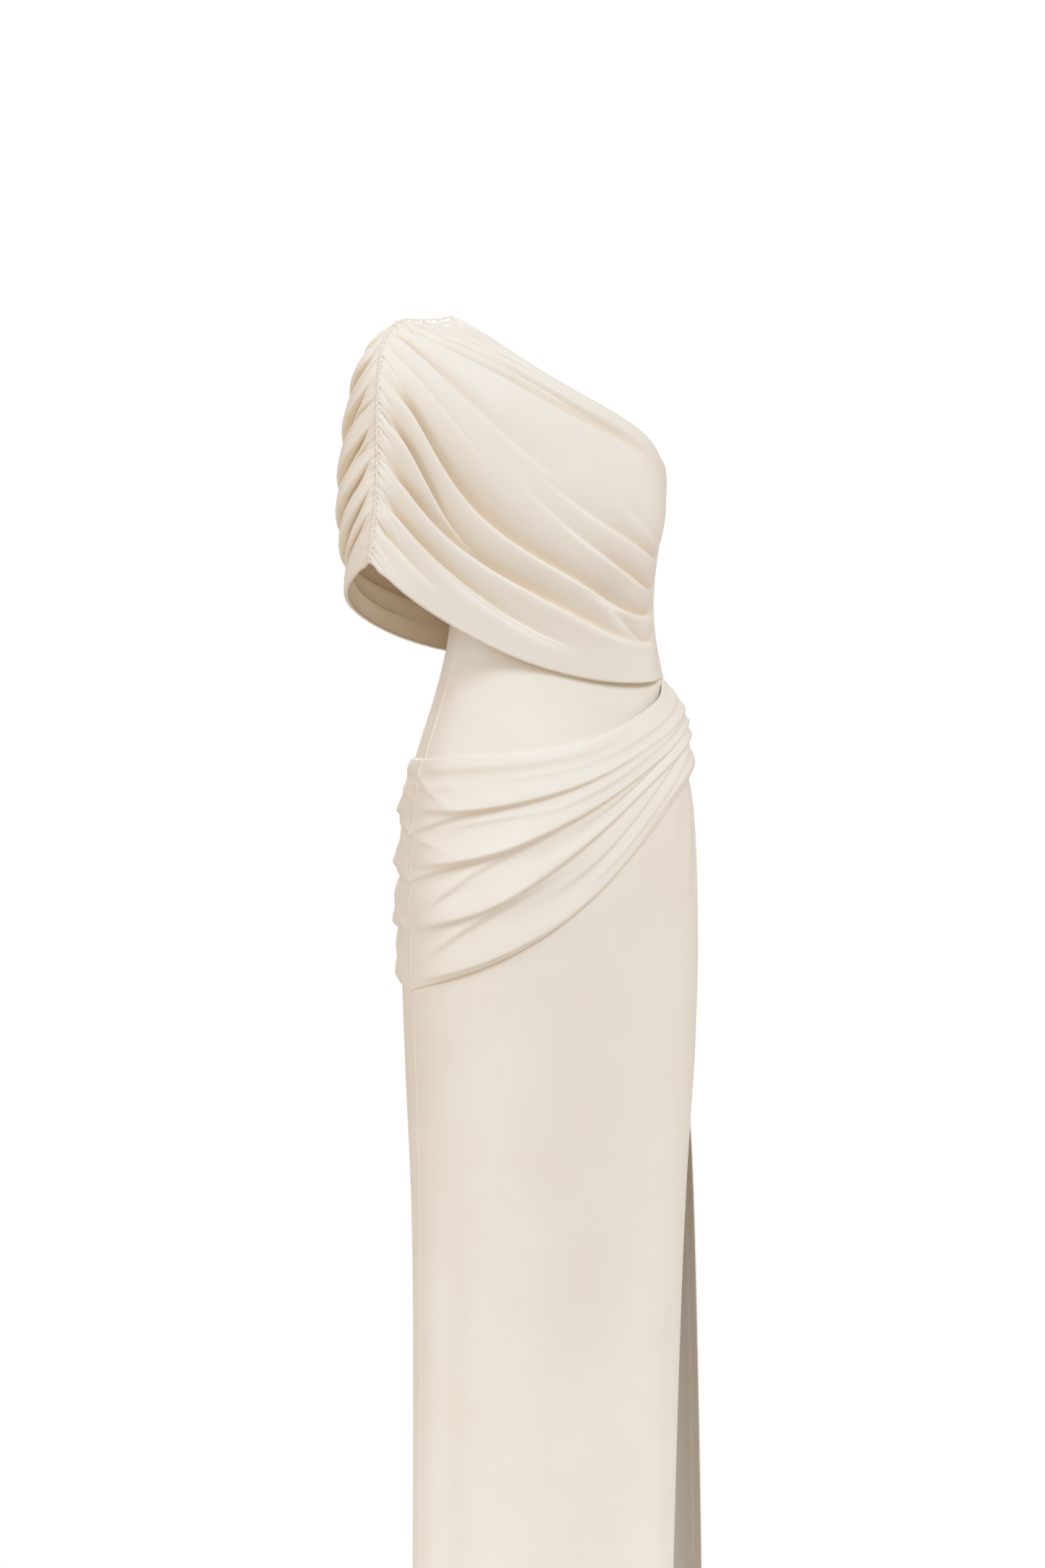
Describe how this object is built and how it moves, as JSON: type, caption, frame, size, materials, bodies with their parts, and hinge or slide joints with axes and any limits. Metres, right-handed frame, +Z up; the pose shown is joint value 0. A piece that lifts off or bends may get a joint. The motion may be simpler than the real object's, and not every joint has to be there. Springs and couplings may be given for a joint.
{
  "type": "one-shoulder dress",
  "caption": "Floor-length one-shoulder evening dress in draped cream jersey, with a cape-like overlay, a gathered hip panel and a side slit, in its hollow worn form.",
  "frame": {"origin": "top of the wearer's right shoulder, where the ruched seam lies on it and holds the dress up", "axes": "+Z up, the front of the dress faces -Y, the wearer's right is -X"},
  "size_m": [0.4354, 0.2504, 1.5082],
  "materials": {
    "jersey": "matte cream jersey with a faint satin sheen"
  },
  "bodies": {
    "root": {"drape_front": "jersey", "drape_back": "jersey", "gown_front": "jersey", "gown_back": "jersey", "hip_drape_front": "jersey", "hip_drape_back": "jersey"}
  },
  "joints": []
}
